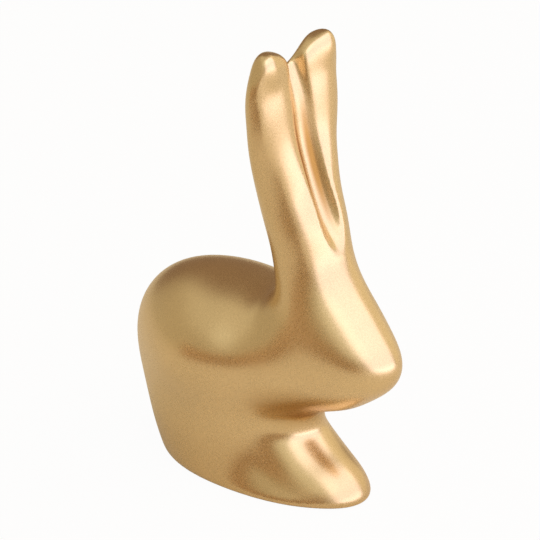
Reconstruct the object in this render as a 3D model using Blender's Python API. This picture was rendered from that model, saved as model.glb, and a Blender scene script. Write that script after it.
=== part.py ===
"""Seated rabbit ornament: a hollow metal casting closed by a screwed, ballasted base.

Metres, +Z up. The nose points along -Y and the rabbit's left side lies on +X. The origin
is the middle of the plan, on the surface that the pad under the base stands on.
"""

import math
from dataclasses import dataclass

import bmesh
import bpy
import numpy as np
from mathutils import Matrix, Vector

MM = 0.001


@dataclass
class Mass:
    """One rounded mass of the figure, in millimetres and degrees.

    forward, side and height place its centre, height from the casting's rim. pitch lifts
    its front end, lean tips its top outward, and a higher firmness keeps it more distinct
    where it meets the others. A mass with mirrored set has a twin on the other side of
    the middle plane, and one with hollow set has the casting's hollow inside it.
    """

    forward: float
    height: float
    half_length: float
    half_width: float
    half_height: float
    side: float = 0.0
    pitch: float = 0.0
    lean: float = 0.0
    firmness: float = 2.0
    mirrored: bool = False
    hollow: bool = True


# The figure's masses, from the tail end to the ear tips
HAUNCH = Mass(forward=-43.5, height=66, half_length=41.5, half_width=29.5, half_height=37.5,
              pitch=-3, firmness=1.5)
RUMP = Mass(forward=-29, height=30, half_length=43.5, half_width=34.5, half_height=39.5,
            pitch=-4.5, firmness=1.8)
TRUNK = Mass(forward=-20, height=72, half_length=43.5, half_width=45.5, half_height=34,
             pitch=3, firmness=2.0)
SOLE = Mass(forward=8.5, height=-10, half_length=55, half_width=36.5, half_height=27.5,
            pitch=3.5, firmness=0.7)
PAW = Mass(forward=21, height=18, half_length=36.5, half_width=19, half_height=16,
           pitch=-36, firmness=3.1)
INSTEP = Mass(forward=16, height=37.5, half_length=14, half_width=14, half_height=12,
              pitch=-30.5, firmness=3.0)
TOE = Mass(forward=39.5, height=7.5, half_length=20.5, half_width=15, half_height=13,
           pitch=-18, firmness=3.1)
CHEST = Mass(forward=23, height=77, half_length=22.5, half_width=29.5, half_height=30.5,
             pitch=-9.5, firmness=1.5)
JAW = Mass(forward=44.5, height=87, half_length=33, half_width=25, half_height=34,
           pitch=-1.5, firmness=2.2)
SNOUT = Mass(forward=58, height=84.5, half_length=27, half_width=17.5, half_height=16.5,
             pitch=-2, firmness=1.9)
BROW = Mass(forward=35, height=117.5, half_length=19.5, half_width=20.5, half_height=36,
            pitch=27, firmness=1.8)
NAPE = Mass(forward=24.5, height=157, half_length=18.5, half_width=22.5, half_height=35.5,
            pitch=21.5, firmness=1.8, hollow=False)
EAR_ROOT = Mass(forward=18, side=12.5, height=183, half_length=13, half_width=12, half_height=35,
                pitch=10, lean=7.5, firmness=2.6, mirrored=True, hollow=False)
EAR_BLADE = Mass(forward=16, side=16.5, height=214.5, half_length=9, half_width=14.5,
                 half_height=34.5, pitch=5, lean=4, firmness=2.6, mirrored=True, hollow=False)
EAR_FACE = Mass(forward=12.5, side=14.5, height=226.5, half_length=6.5, half_width=14,
                half_height=22, pitch=-18, lean=20.5, firmness=2.7, mirrored=True, hollow=False)
EAR_TIP = Mass(forward=16.5, side=21, height=239, half_length=6, half_width=6, half_height=10.5,
               pitch=-7, lean=11.5, firmness=3.0, mirrored=True, hollow=False)
EAR_WEB = Mass(forward=12.5, height=200.5, half_length=8, half_width=27, half_height=34,
               pitch=3.5, firmness=2.6, hollow=False)
MASSES = [HAUNCH, RUMP, TRUNK, SOLE, PAW, INSTEP, TOE, CHEST, JAW, SNOUT, BROW, NAPE, EAR_ROOT,
          EAR_BLADE, EAR_FACE, EAR_TIP, EAR_WEB]

# Groove between the ears: height, forward place and radius of the round cutter's path
GROOVE_PATH = [(140, 62.0, 7.4), (158, 45.2, 7.4), (174, 36.9, 7.4), (206, 27.0, 7.4),
               (220, 24.0, 7.0), (240, 16.3, 5.3), (262, 10.0, 4.4)]

# Casting
WALL = 3.2 * MM
FLANGE_THICKNESS = 4.6 * MM
LIP = 4.0 * MM  # from the outline to the recess for the base

# Oval opening through the flange
OPENING_FORWARD = -10.0 * MM
OPENING_LENGTH = 92.0 * MM
OPENING_WIDTH = 34.0 * MM

# Stack under the casting, from the floor up
RIM_HEIGHT = 0.5 * MM
PAD_THICKNESS = 2.0 * MM
PLATE_THICKNESS = 3.0 * MM
GASKET_THICKNESS = 1.5 * MM
GAP = 0.3 * MM
PAD_BOTTOM = 0.0
PLATE_BOTTOM = PAD_BOTTOM + PAD_THICKNESS + GAP
PLATE_TOP = PLATE_BOTTOM + PLATE_THICKNESS
GASKET_BOTTOM = PLATE_TOP + GAP
SHOULDER = GASKET_BOTTOM + GASKET_THICKNESS + GAP
FLANGE_TOP = SHOULDER + FLANGE_THICKNESS

# Clearances of the flat pieces in the recess
PLATE_CLEARANCE = 0.4 * MM
PAD_MARGIN = 1.5 * MM
GASKET_MARGIN = 0.6 * MM

# Base screws, their bosses and where they stand round the outline, in degrees from ahead
SCREW_RADIUS = 2.0 * MM
SCREW_HEAD_RADIUS = 3.9 * MM
SCREW_HEAD_HEIGHT = 2.2 * MM
SCREW_LENGTH = 10.0 * MM
SCREW_INSET = 14.5 * MM
SCREW_BEARINGS = {"front_left": 32, "rear_left": 140, "rear_right": 220, "front_right": 328}
BOSS_RADIUS = 4.2 * MM
BOSS_FLOOR = 3.0 * MM  # metal over the end of the screw

# Ballast block and its screws
BALLAST_LENGTH = 44.0 * MM
BALLAST_WIDTH = 26.0 * MM
BALLAST_HEIGHT = 22.0 * MM
BALLAST_FORWARD = -12.0 * MM
BALLAST_BEVEL = 1.5 * MM
BALLAST_SCREW_RADIUS = 2.5 * MM
BALLAST_SCREW_HEAD_RADIUS = 4.8 * MM
BALLAST_SCREW_HEAD_HEIGHT = 2.5 * MM
BALLAST_SCREW_LENGTH = 14.0 * MM
BALLAST_SCREW_SPACING = 28.0 * MM

# Resolution
OUTLINE_POINTS = 72
ROUND_SIDES = 20
GROOVE_STATIONS = 26
GROOVE_SIDES = 24
VOXEL = 3.0 * MM
ROUNDS = 3
SPARE_DEPTH = 9.0 * MM  # made below a flat cut, and then cut away
FLOOR_ROUNDING = 6.0 * MM
SHELL_FACES = 4400
CAVITY_FACES = 1500
LONGEST_REACH = 200.0 * MM  # sought from the middle of the sole
LONGEST_MOVE = 4.0 * MM  # of a vertex in one step onto the surface

PLAN_CENTRE = (-4.0 * MM, 0.0)  # forward and side of the middle of the sole


def mass_rows(masses, shrink=0.0):
    """The masses as rows of metres and radians, with the mirrored twins added."""
    rows = []
    for mass in masses:
        for sign in ((1, -1) if mass.mirrored else (1,)):
            rows.append((
                mass.forward * MM,
                sign * mass.side * MM,
                mass.height * MM + RIM_HEIGHT,
                mass.half_length * MM - shrink,
                mass.half_width * MM - shrink,
                mass.half_height * MM - shrink,
                math.radians(mass.pitch),
                sign * math.radians(mass.lean),
                mass.firmness,
            ))
    return np.array(rows)


def blended_distance(points, rows):
    """Distance of points from the blended masses, negative inside.

    Each mass gives exp(firmness * (1 - q * q)), where q is the distance from its centre
    in units of its half sizes. The surface is where these sum to one, and the distance
    is minus the logarithm of the sum over the length of that logarithm's gradient.
    """
    forward, side, height, length, width, tall, pitch, lean, firmness = rows.T
    ahead = points[:, None, 0] - forward
    across = points[:, None, 1] - side
    up = points[:, None, 2] - height
    tipped_across = across * np.cos(lean) - up * np.sin(lean)
    tipped_up = across * np.sin(lean) + up * np.cos(lean)
    u = (ahead * np.cos(pitch) + tipped_up * np.sin(pitch)) / length
    v = tipped_across / width
    w = (tipped_up * np.cos(pitch) - ahead * np.sin(pitch)) / tall
    power = firmness * (1 - u * u - v * v - w * w)
    highest = power.max(axis=1, keepdims=True)
    share = np.exp(power - highest)
    total = share.sum(axis=1, keepdims=True)
    value = -(highest[:, 0] + np.log(total[:, 0]))
    share = share / total * 2 * firmness
    slope_ahead = u * np.cos(pitch) / length - w * np.sin(pitch) / tall
    slope_up = u * np.sin(pitch) / length + w * np.cos(pitch) / tall
    slope_across = v / width
    gradient = np.stack([
        (share * slope_ahead).sum(axis=1),
        (share * (slope_across * np.cos(lean) + slope_up * np.sin(lean))).sum(axis=1),
        (share * (slope_up * np.cos(lean) - slope_across * np.sin(lean))).sum(axis=1),
    ], axis=1)
    return value / np.maximum(np.linalg.norm(gradient, axis=1), 0.02 / MM)


def smooth_larger(a, b, rounding):
    """The larger of two distances, with the corner between them rounded."""
    near = np.maximum(rounding - np.abs(a - b), 0) / rounding
    return np.maximum(a, b) + near ** 3 * rounding / 6


def natural_spline(knots, values, at):
    """Natural cubic spline through values at knots, read at the given places."""
    step = np.diff(knots)
    system = np.eye(len(knots))
    right = np.zeros(len(knots))
    for i in range(1, len(knots) - 1):
        system[i, i - 1:i + 2] = step[i - 1], 2 * (step[i - 1] + step[i]), step[i]
        right[i] = 6 * ((values[i + 1] - values[i]) / step[i] - (values[i] - values[i - 1]) / step[i - 1])
    bend = np.linalg.solve(system, right)
    span = np.clip(np.searchsorted(knots, at, side="right") - 1, 0, len(knots) - 2)
    t = at - knots[span]
    h = step[span]
    slope = (values[span + 1] - values[span]) / h - h * (2 * bend[span] + bend[span + 1]) / 6
    return values[span] + t * (slope + t * (bend[span] / 2 + t * (bend[span + 1] - bend[span]) / (6 * h)))


def body_distance(points, rows, floor):
    """Distance from the blended masses above a floor."""
    return smooth_larger(blended_distance(points, rows), floor - points[:, 2], FLOOR_ROUNDING)


def drawn_to_surface(points, rows, floor, rounds=6):
    """Points moved along the distance's gradient until they lie where it is zero."""
    probe = 0.1 * MM
    for _ in range(rounds):
        slopes = []
        for step in np.eye(3) * probe:
            rise = body_distance(points + step, rows, floor) - body_distance(points - step, rows, floor)
            slopes.append(rise / (2 * probe))
        gradient = np.stack(slopes, axis=1)
        shift = body_distance(points, rows, floor) / np.maximum((gradient ** 2).sum(axis=1), 0.1)
        shift = np.clip(shift, -LONGEST_MOVE, LONGEST_MOVE)
        points = points - gradient * shift[:, None]
    return points


def link(name, mesh):
    """A new object that holds the mesh."""
    obj = bpy.data.objects.new(name, mesh)
    bpy.context.scene.collection.objects.link(obj)
    return obj


def mesh_from_bmesh(name, bm):
    """A mesh with its faces pointing out."""
    bmesh.ops.recalc_face_normals(bm, faces=bm.faces)
    mesh = bpy.data.meshes.new(name)
    bm.to_mesh(mesh)
    bm.free()
    return mesh


def apply_modifiers(obj):
    """Replace an object's mesh by what its modifiers make of it."""
    graph = bpy.context.evaluated_depsgraph_get()
    mesh = bpy.data.meshes.new_from_object(obj.evaluated_get(graph))
    obj.modifiers.clear()
    old = obj.data
    obj.data = mesh
    bpy.data.meshes.remove(old)


def remesh(obj, size):
    """Cover an object with an even skin of squares of the given size."""
    modifier = obj.modifiers.new("skin", "REMESH")
    modifier.mode = "VOXEL"
    modifier.voxel_size = size
    apply_modifiers(obj)


def draw_mesh_to_surface(obj, rows, floor):
    """Move an object's vertices onto the blended surface of the masses above a floor."""
    count = len(obj.data.vertices)
    flat = np.empty(count * 3, dtype=np.float32)
    obj.data.vertices.foreach_get("co", flat)
    world = flat.reshape(count, 3).astype(float)
    figure = np.stack([-world[:, 1], world[:, 0], world[:, 2]], axis=1)
    figure = drawn_to_surface(figure, rows, floor)
    world = np.stack([figure[:, 1], -figure[:, 0], figure[:, 2]], axis=1)
    obj.data.vertices.foreach_set("co", world.astype(np.float32).ravel())
    obj.data.update()


def relax(obj):
    """Even out the spacing of the vertices."""
    modifier = obj.modifiers.new("even", "SMOOTH")
    modifier.factor = 0.5
    modifier.iterations = 4
    apply_modifiers(obj)


def reduce_faces(obj, faces):
    """Collapse the mesh to about the given number of triangles."""
    triangles = sum(len(polygon.vertices) - 2 for polygon in obj.data.polygons)
    modifier = obj.modifiers.new("fewer_faces", "DECIMATE")
    modifier.ratio = min(1.0, faces / triangles)
    apply_modifiers(obj)


def cut_below(obj, level):
    """Remove what lies below a level and close the cut."""
    bm = bmesh.new()
    bm.from_mesh(obj.data)
    everything = list(bm.verts) + list(bm.edges) + list(bm.faces)
    bmesh.ops.bisect_plane(bm, geom=everything, plane_co=(0, 0, level), plane_no=(0, 0, 1),
                           clear_inner=True)
    rim = [edge for edge in bm.edges if edge.is_boundary]
    bmesh.ops.triangle_fill(bm, edges=rim, use_beauty=True)
    bmesh.ops.recalc_face_normals(bm, faces=bm.faces)
    bm.to_mesh(obj.data)
    bm.free()


def blended_body(name, rows, level, faces):
    """A closed body on the blended surface of the masses, cut flat at a level.

    It starts as one ellipsoid for each mass.
    """
    bm = bmesh.new()
    for forward, side, height, length, width, tall, pitch, lean, _ in rows:
        place = Matrix.Translation((side, -forward, height))
        turn = Matrix.Rotation(lean, 4, "Y") @ Matrix.Rotation(-pitch, 4, "X")
        scale = Matrix.Diagonal((width, length, tall, 1))
        bmesh.ops.create_icosphere(bm, subdivisions=3, radius=1.0, matrix=place @ turn @ scale)
    obj = link(name, mesh_from_bmesh(name, bm))
    remesh(obj, VOXEL)
    floor = level - SPARE_DEPTH
    cut_below(obj, floor)
    for _ in range(ROUNDS):
        remesh(obj, VOXEL)
        draw_mesh_to_surface(obj, rows, floor)
        relax(obj)
        draw_mesh_to_surface(obj, rows, floor)
    reduce_faces(obj, faces)
    cut_below(obj, level)
    return obj


def section_reach(rows, level):
    """How far the figure reaches from the middle of the sole at a level, at each bearing."""
    bearings = np.linspace(0, 2 * math.pi, OUTLINE_POINTS, endpoint=False)
    ray = np.stack([np.cos(bearings), np.sin(bearings), np.zeros(OUTLINE_POINTS)], axis=1)
    centre = np.array([*PLAN_CENTRE, level])
    near = np.zeros(OUTLINE_POINTS)
    far = np.full(OUTLINE_POINTS, LONGEST_REACH)
    for _ in range(40):
        middle = (near + far) / 2
        inside = blended_distance(centre + ray * middle[:, None], rows) < 0
        near = np.where(inside, middle, near)
        far = np.where(inside, far, middle)
    return near, ray[:, :2]


def sole_outline(rows):
    """The outline, as forward and side points, that the figure fills all the way up the recess."""
    at_rim, ray = section_reach(rows, RIM_HEIGHT)
    at_shoulder, ray = section_reach(rows, SHOULDER)
    return np.array(PLAN_CENTRE) + ray * np.minimum(at_rim, at_shoulder)[:, None]


def inset_outline(outline, distance):
    """The outline moved inward by a distance, square to itself."""
    tangent = np.roll(outline, -1, axis=0) - np.roll(outline, 1, axis=0)
    inward = np.stack([-tangent[:, 1], tangent[:, 0]], axis=1)
    inward /= np.linalg.norm(inward, axis=1, keepdims=True)
    return outline + inward * distance


def opening_outline(margin=0.0):
    """The oval opening through the flange, larger by a margin all round."""
    bearings = np.linspace(0, 2 * math.pi, OUTLINE_POINTS, endpoint=False)
    forward = OPENING_FORWARD + (OPENING_LENGTH / 2 + margin) * np.cos(bearings)
    side = (OPENING_WIDTH / 2 + margin) * np.sin(bearings)
    return np.stack([forward, side], axis=1)


def point_at_bearing(outline, bearing):
    """The outline's point at a bearing from the middle of the sole."""
    place = bearing / 360 * OUTLINE_POINTS
    first = int(place) % OUTLINE_POINTS
    share = place - int(place)
    return outline[first] * (1 - share) + outline[(first + 1) % OUTLINE_POINTS] * share


def slab(name, outline, bottom, top, hole=None):
    """A flat piece between two levels with the given outline, and a hole if it is a ring."""
    bm = bmesh.new()
    loops = []
    for points in ([outline] if hole is None else [outline, hole]):
        ring = [bm.verts.new((side, -forward, bottom)) for forward, side in points]
        loops.append([bm.edges.new((ring[i], ring[(i + 1) % len(ring)])) for i in range(len(ring))])
        if hole is None:
            bm.faces.new(ring)
    if hole is not None:
        bmesh.ops.bridge_loops(bm, edges=loops[0] + loops[1])
    raised = bmesh.ops.extrude_face_region(bm, geom=list(bm.faces))
    moved = [item for item in raised["geom"] if isinstance(item, bmesh.types.BMVert)]
    bmesh.ops.translate(bm, verts=moved, vec=(0, 0, top - bottom))
    return link(name, mesh_from_bmesh(name, bm))


def turned(name, profile, sides=ROUND_SIDES):
    """A solid turned about Z from radius and height pairs that start and end on the axis."""
    bm = bmesh.new()
    verts = [bm.verts.new((radius, 0, height)) for radius, height in profile]
    edges = [bm.edges.new(pair) for pair in zip(verts, verts[1:])]
    bmesh.ops.spin(bm, geom=verts + edges, axis=(0, 0, 1), cent=(0, 0, 0), angle=2 * math.pi, steps=sides,
                   use_merge=True)
    bmesh.ops.remove_doubles(bm, verts=bm.verts, dist=0.001 * MM)
    return link(name, mesh_from_bmesh(name, bm))


def groove_cutter():
    """A round bar bent along the groove's path, with its own radius at each station."""
    heights, forwards, radii = np.array(GROOVE_PATH).T * MM
    level = np.linspace(heights[0], heights[-1], GROOVE_STATIONS)
    forward = natural_spline(heights, forwards, level)
    radius = natural_spline(heights, radii, level)
    slope = np.gradient(forward, level)
    length = np.sqrt(1 + slope * slope)
    bm = bmesh.new()
    rings = []
    for i in range(GROOVE_STATIONS):
        ring = []
        for k in range(GROOVE_SIDES):
            turn = 2 * math.pi * k / GROOVE_SIDES
            ahead = forward[i] + radius[i] * math.cos(turn) / length[i]
            up = level[i] - radius[i] * math.cos(turn) * slope[i] / length[i]
            ring.append(bm.verts.new((radius[i] * math.sin(turn), -ahead, up + RIM_HEIGHT)))
        rings.append(ring)
    for lower, upper in zip(rings, rings[1:]):
        for k in range(GROOVE_SIDES):
            after = (k + 1) % GROOVE_SIDES
            bm.faces.new((lower[k], lower[after], upper[after], upper[k]))
    bm.faces.new(rings[0])
    bm.faces.new(rings[-1])
    return link("cutter", mesh_from_bmesh("cutter", bm))


def combine(obj, tool, operation):
    """Cut or join an object with a tool, which is then removed."""
    modifier = obj.modifiers.new(operation.lower(), "BOOLEAN")
    modifier.operation = operation
    modifier.solver = "EXACT"
    modifier.object = tool
    apply_modifiers(obj)
    mesh = tool.data
    bpy.data.objects.remove(tool)
    bpy.data.meshes.remove(mesh)


def placed(obj, forward, side, height=0.0):
    """Put an object's origin at a place of the figure."""
    obj.location = Vector((side, -forward, height))
    bpy.context.view_layer.update()
    return obj


def material(obj, name, colour, roughness, metallic):
    """Give an object its own Principled material."""
    made = bpy.data.materials.new(name)
    made.use_nodes = True
    shader = made.node_tree.nodes["Principled BSDF"]
    shader.inputs["Base Color"].default_value = (*colour, 1.0)
    shader.inputs["Roughness"].default_value = roughness
    shader.inputs["Metallic"].default_value = metallic
    obj.data.materials.clear()
    obj.data.materials.append(made)


def shade(obj, angle=35):
    """Smooth shading with sharp edges past an angle in degrees."""
    obj.data.shade_smooth()
    obj.data.set_sharp_from_angle(angle=math.radians(angle))


def screw_places(outline):
    """Forward and side place of each base screw, by its name."""
    line = inset_outline(outline, SCREW_INSET)
    return {name: point_at_bearing(line, bearing) for name, bearing in SCREW_BEARINGS.items()}


def ballast_screw_places():
    """Forward and side place of each ballast screw, by its name."""
    reach = BALLAST_SCREW_SPACING / 2
    return {"front": (BALLAST_FORWARD + reach, 0.0), "rear": (BALLAST_FORWARD - reach, 0.0)}


def hole_cutter(radius, bottom, top):
    """A round cutter about Z between two levels."""
    return turned("cutter", [(0, bottom), (radius, bottom), (radius, top), (0, top)])


def countersink_cutter(radius, head_radius, head_height):
    """A cutter for a through hole in the plate with its countersink below."""
    below = PLATE_BOTTOM - MM
    above = PLATE_TOP + MM
    return turned("cutter", [
        (0, below),
        (head_radius, below),
        (head_radius, PLATE_BOTTOM),
        (radius, PLATE_BOTTOM + head_height),
        (radius, above),
        (0, above),
    ])


def make_body_shell(outline):
    """The casting: outside, hollow, flange, recess and screw bosses in one piece."""
    shell = blended_body("body_shell", mass_rows(MASSES), RIM_HEIGHT, SHELL_FACES)
    hollow_rows = mass_rows([mass for mass in MASSES if mass.hollow], shrink=WALL)
    hollow = blended_body("cutter", hollow_rows, FLANGE_TOP, CAVITY_FACES)
    combine(hollow, slab("cutter", opening_outline(), SHOULDER - MM, FLANGE_TOP + WALL), "UNION")
    combine(hollow, slab("cutter", inset_outline(outline, LIP), -MM, SHOULDER), "UNION")
    combine(shell, hollow, "DIFFERENCE")
    combine(shell, groove_cutter(), "DIFFERENCE")
    screw_end = PLATE_BOTTOM + SCREW_LENGTH
    for forward, side in screw_places(outline).values():
        boss = hole_cutter(BOSS_RADIUS, SHOULDER + FLANGE_THICKNESS / 2, screw_end + BOSS_FLOOR)
        combine(shell, placed(boss, forward, side), "UNION")
        hole = hole_cutter(SCREW_RADIUS + GAP, SHOULDER - MM, screw_end + GAP)
        combine(shell, placed(hole, forward, side), "DIFFERENCE")
    material(shell, "satin_gold", (0.60, 0.42, 0.18), 0.34, 1.0)
    shade(shell)


def make_base_plate(outline):
    """The plate that closes the casting, countersunk for both sets of screws."""
    plate = slab("base_plate", inset_outline(outline, LIP + PLATE_CLEARANCE), PLATE_BOTTOM, PLATE_TOP)
    for forward, side in screw_places(outline).values():
        cutter = countersink_cutter(SCREW_RADIUS + GAP, SCREW_HEAD_RADIUS + GAP, SCREW_HEAD_HEIGHT)
        combine(plate, placed(cutter, forward, side), "DIFFERENCE")
    for forward, side in ballast_screw_places().values():
        cutter = countersink_cutter(BALLAST_SCREW_RADIUS + GAP, BALLAST_SCREW_HEAD_RADIUS + GAP,
                                    BALLAST_SCREW_HEAD_HEIGHT)
        combine(plate, placed(cutter, forward, side), "DIFFERENCE")
    material(plate, "zinc_plate", (0.52, 0.53, 0.54), 0.42, 1.0)
    shade(plate)


def make_gasket(outline):
    """The flat ring between the plate and the recess's shoulder."""
    outer = inset_outline(outline, LIP + GASKET_MARGIN)
    inner = opening_outline(GASKET_MARGIN)
    gasket = slab("base_gasket", outer, GASKET_BOTTOM, GASKET_BOTTOM + GASKET_THICKNESS, inner)
    for forward, side in screw_places(outline).values():
        cutter = hole_cutter(SCREW_RADIUS + GAP, GASKET_BOTTOM - MM, SHOULDER + MM)
        combine(gasket, placed(cutter, forward, side), "DIFFERENCE")
    material(gasket, "gasket_rubber", (0.03, 0.03, 0.03), 0.7, 0.0)
    shade(gasket)


def make_base_pad(outline):
    """The soft sheet under the plate that the figure stands on."""
    pad = slab("base_pad", inset_outline(outline, LIP + PAD_MARGIN), PAD_BOTTOM, PAD_BOTTOM + PAD_THICKNESS)
    material(pad, "black_felt", (0.02, 0.02, 0.022), 0.95, 0.0)
    shade(pad)


def make_ballast_block():
    """The weight that stands on the plate, tapped from below."""
    bm = bmesh.new()
    scale = Matrix.Diagonal((BALLAST_WIDTH, BALLAST_LENGTH, BALLAST_HEIGHT, 1))
    bmesh.ops.create_cube(bm, size=1.0, matrix=scale)
    bmesh.ops.bevel(bm, geom=list(bm.edges), offset=BALLAST_BEVEL, segments=2, affect="EDGES", profile=0.5)
    block = link("ballast_block", mesh_from_bmesh("ballast_block", bm))
    bottom = PLATE_TOP + GAP
    placed(block, BALLAST_FORWARD, 0.0, bottom + BALLAST_HEIGHT / 2)
    for forward, side in ballast_screw_places().values():
        top = PLATE_BOTTOM + BALLAST_SCREW_LENGTH + GAP
        combine(block, placed(hole_cutter(BALLAST_SCREW_RADIUS + GAP, bottom - MM, top), forward, side),
                "DIFFERENCE")
    material(block, "cast_iron", (0.08, 0.08, 0.085), 0.6, 1.0)
    shade(block)


def make_screw(name, place, radius, head_radius, head_height, length):
    """A countersunk screw, head down, with a round-bottomed drive socket."""
    socket_radius = head_radius * 0.4
    socket_depth = head_height * 0.5
    tip_bevel = radius * 0.3
    profile = [
        (0, socket_depth),
        (socket_radius, socket_depth),
        (socket_radius, 0),
        (head_radius, 0),
        (radius, head_height),
        (radius, length - tip_bevel),
        (radius - tip_bevel, length),
        (0, length),
    ]
    screw = turned(name, profile)
    placed(screw, place[0], place[1], PLATE_BOTTOM)
    material(screw, name + "_steel", (0.55, 0.56, 0.57), 0.35, 1.0)
    shade(screw)


def main():
    for obj in list(bpy.data.objects):
        bpy.data.objects.remove(obj)
    outline = sole_outline(mass_rows(MASSES))
    make_body_shell(outline)
    make_base_plate(outline)
    make_gasket(outline)
    make_base_pad(outline)
    make_ballast_block()
    for name, place in screw_places(outline).items():
        make_screw("base_screw_" + name, place, SCREW_RADIUS, SCREW_HEAD_RADIUS,
                   SCREW_HEAD_HEIGHT, SCREW_LENGTH)
    for name, place in ballast_screw_places().items():
        make_screw("ballast_screw_" + name, place, BALLAST_SCREW_RADIUS, BALLAST_SCREW_HEAD_RADIUS,
                   BALLAST_SCREW_HEAD_HEIGHT, BALLAST_SCREW_LENGTH)


main()
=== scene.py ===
import math
from dataclasses import dataclass

import bmesh
import bpy
import numpy as np
from bpy.props import FloatProperty, FloatVectorProperty, PointerProperty
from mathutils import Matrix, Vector


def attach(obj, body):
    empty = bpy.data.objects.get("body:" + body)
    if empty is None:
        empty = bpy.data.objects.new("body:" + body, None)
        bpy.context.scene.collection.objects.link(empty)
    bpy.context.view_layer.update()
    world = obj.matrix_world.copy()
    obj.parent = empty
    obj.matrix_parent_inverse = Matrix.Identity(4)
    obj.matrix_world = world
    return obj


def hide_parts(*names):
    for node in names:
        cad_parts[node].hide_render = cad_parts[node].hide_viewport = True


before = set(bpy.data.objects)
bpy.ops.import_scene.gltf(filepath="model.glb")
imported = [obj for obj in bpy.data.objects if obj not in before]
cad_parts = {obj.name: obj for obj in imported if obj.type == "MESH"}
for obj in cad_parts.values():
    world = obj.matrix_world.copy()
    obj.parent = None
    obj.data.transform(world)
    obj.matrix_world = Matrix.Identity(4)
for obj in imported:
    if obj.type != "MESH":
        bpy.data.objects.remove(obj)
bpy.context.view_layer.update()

bl_info = {
    "name": "Satin Gold Rabbit",
    "version": (1, 0, 0),
    "blender": (4, 5, 0),
    "location": "3D View > Sidebar > Rabbit",
    "description": "A seated rabbit ornament in satin gold metal on a screwed, padded base",
    "category": "Object",
}

MM = 0.001


@dataclass
class Mass:
    """One rounded mass of the figure, in millimetres and degrees.

    forward, side and height place its centre, height from the casting's rim. pitch lifts
    its front end, lean tips its top outward, and a higher firmness keeps it more distinct
    where it meets the others. A mirrored mass has a twin across the middle plane, and a
    hollow one has the casting's hollow inside it.
    """

    forward: float
    height: float
    half_length: float
    half_width: float
    half_height: float
    side: float = 0.0
    pitch: float = 0.0
    lean: float = 0.0
    firmness: float = 2.0
    mirrored: bool = False
    hollow: bool = True


HAUNCH = Mass(forward=-43.5, height=66, half_length=41.5, half_width=29.5, half_height=37.5,
              pitch=-3, firmness=1.5)
RUMP = Mass(forward=-29, height=30, half_length=43.5, half_width=34.5, half_height=39.5,
            pitch=-4.5, firmness=1.8)
TRUNK = Mass(forward=-20, height=72, half_length=43.5, half_width=45.5, half_height=34,
             pitch=3, firmness=2.0)
SOLE = Mass(forward=8.5, height=-10, half_length=55, half_width=36.5, half_height=27.5,
            pitch=3.5, firmness=0.7)
PAW = Mass(forward=21, height=18, half_length=36.5, half_width=19, half_height=16,
           pitch=-36, firmness=3.1)
INSTEP = Mass(forward=16, height=37.5, half_length=14, half_width=14, half_height=12,
              pitch=-30.5, firmness=3.0)
TOE = Mass(forward=39.5, height=7.5, half_length=20.5, half_width=15, half_height=13,
           pitch=-18, firmness=3.1)
CHEST = Mass(forward=23, height=77, half_length=22.5, half_width=29.5, half_height=30.5,
             pitch=-9.5, firmness=1.5)
JAW = Mass(forward=44.5, height=87, half_length=33, half_width=25, half_height=34,
           pitch=-1.5, firmness=2.2)
SNOUT = Mass(forward=58, height=84.5, half_length=27, half_width=17.5, half_height=16.5,
             pitch=-2, firmness=1.9)
BROW = Mass(forward=35, height=117.5, half_length=19.5, half_width=20.5, half_height=36,
            pitch=27, firmness=1.8)
NAPE = Mass(forward=24.5, height=157, half_length=18.5, half_width=22.5, half_height=35.5,
            pitch=21.5, firmness=1.8, hollow=False)
EAR_ROOT = Mass(forward=18, side=12.5, height=183, half_length=13, half_width=12, half_height=35,
                pitch=10, lean=7.5, firmness=2.6, mirrored=True, hollow=False)
EAR_BLADE = Mass(forward=16, side=16.5, height=214.5, half_length=9, half_width=14.5,
                 half_height=34.5, pitch=5, lean=4, firmness=2.6, mirrored=True, hollow=False)
EAR_FACE = Mass(forward=12.5, side=14.5, height=226.5, half_length=6.5, half_width=14,
                half_height=22, pitch=-18, lean=20.5, firmness=2.7, mirrored=True, hollow=False)
EAR_TIP = Mass(forward=16.5, side=21, height=239, half_length=6, half_width=6, half_height=10.5,
               pitch=-7, lean=11.5, firmness=3.0, mirrored=True, hollow=False)
EAR_WEB = Mass(forward=12.5, height=200.5, half_length=8, half_width=27, half_height=34,
               pitch=3.5, firmness=2.6, hollow=False)
MASSES = [HAUNCH, RUMP, TRUNK, SOLE, PAW, INSTEP, TOE, CHEST, JAW, SNOUT, BROW, NAPE, EAR_ROOT,
          EAR_BLADE, EAR_FACE, EAR_TIP, EAR_WEB]

# Groove between the ears: height, forward place and radius of the round cutter's path
GROOVE_PATH = [(140, 62.0, 7.4), (158, 45.2, 7.4), (174, 36.9, 7.4), (206, 27.0, 7.4),
               (220, 24.0, 7.0), (240, 16.3, 5.3), (262, 10.0, 4.4)]

# The casting's wall and underside, in millimetres
RIM_HEIGHT = 0.5
SHOULDER_HEIGHT = 7.4  # where the recess for the base ends
FLANGE_TOP = 12.0
WALL = 3.2
LIP = 4.0  # from the outline to the recess
PLAN_CENTRE = (-4.0, 0.0)  # forward and side of the middle of the sole
OPENING_FORWARD = -10.0  # the oval opening through the flange
OPENING_LENGTH = 92.0
OPENING_WIDTH = 34.0
OUTLINE_POINTS = 144
SKIN_INSET = 0.12  # keeps the smooth skin inside the faceted solid's box
SPARE_DEPTH = 1.0  # of a cutter past the level that it opens on
SHARP_ANGLE = 40  # degrees past which an edge is shaded as a corner

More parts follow.
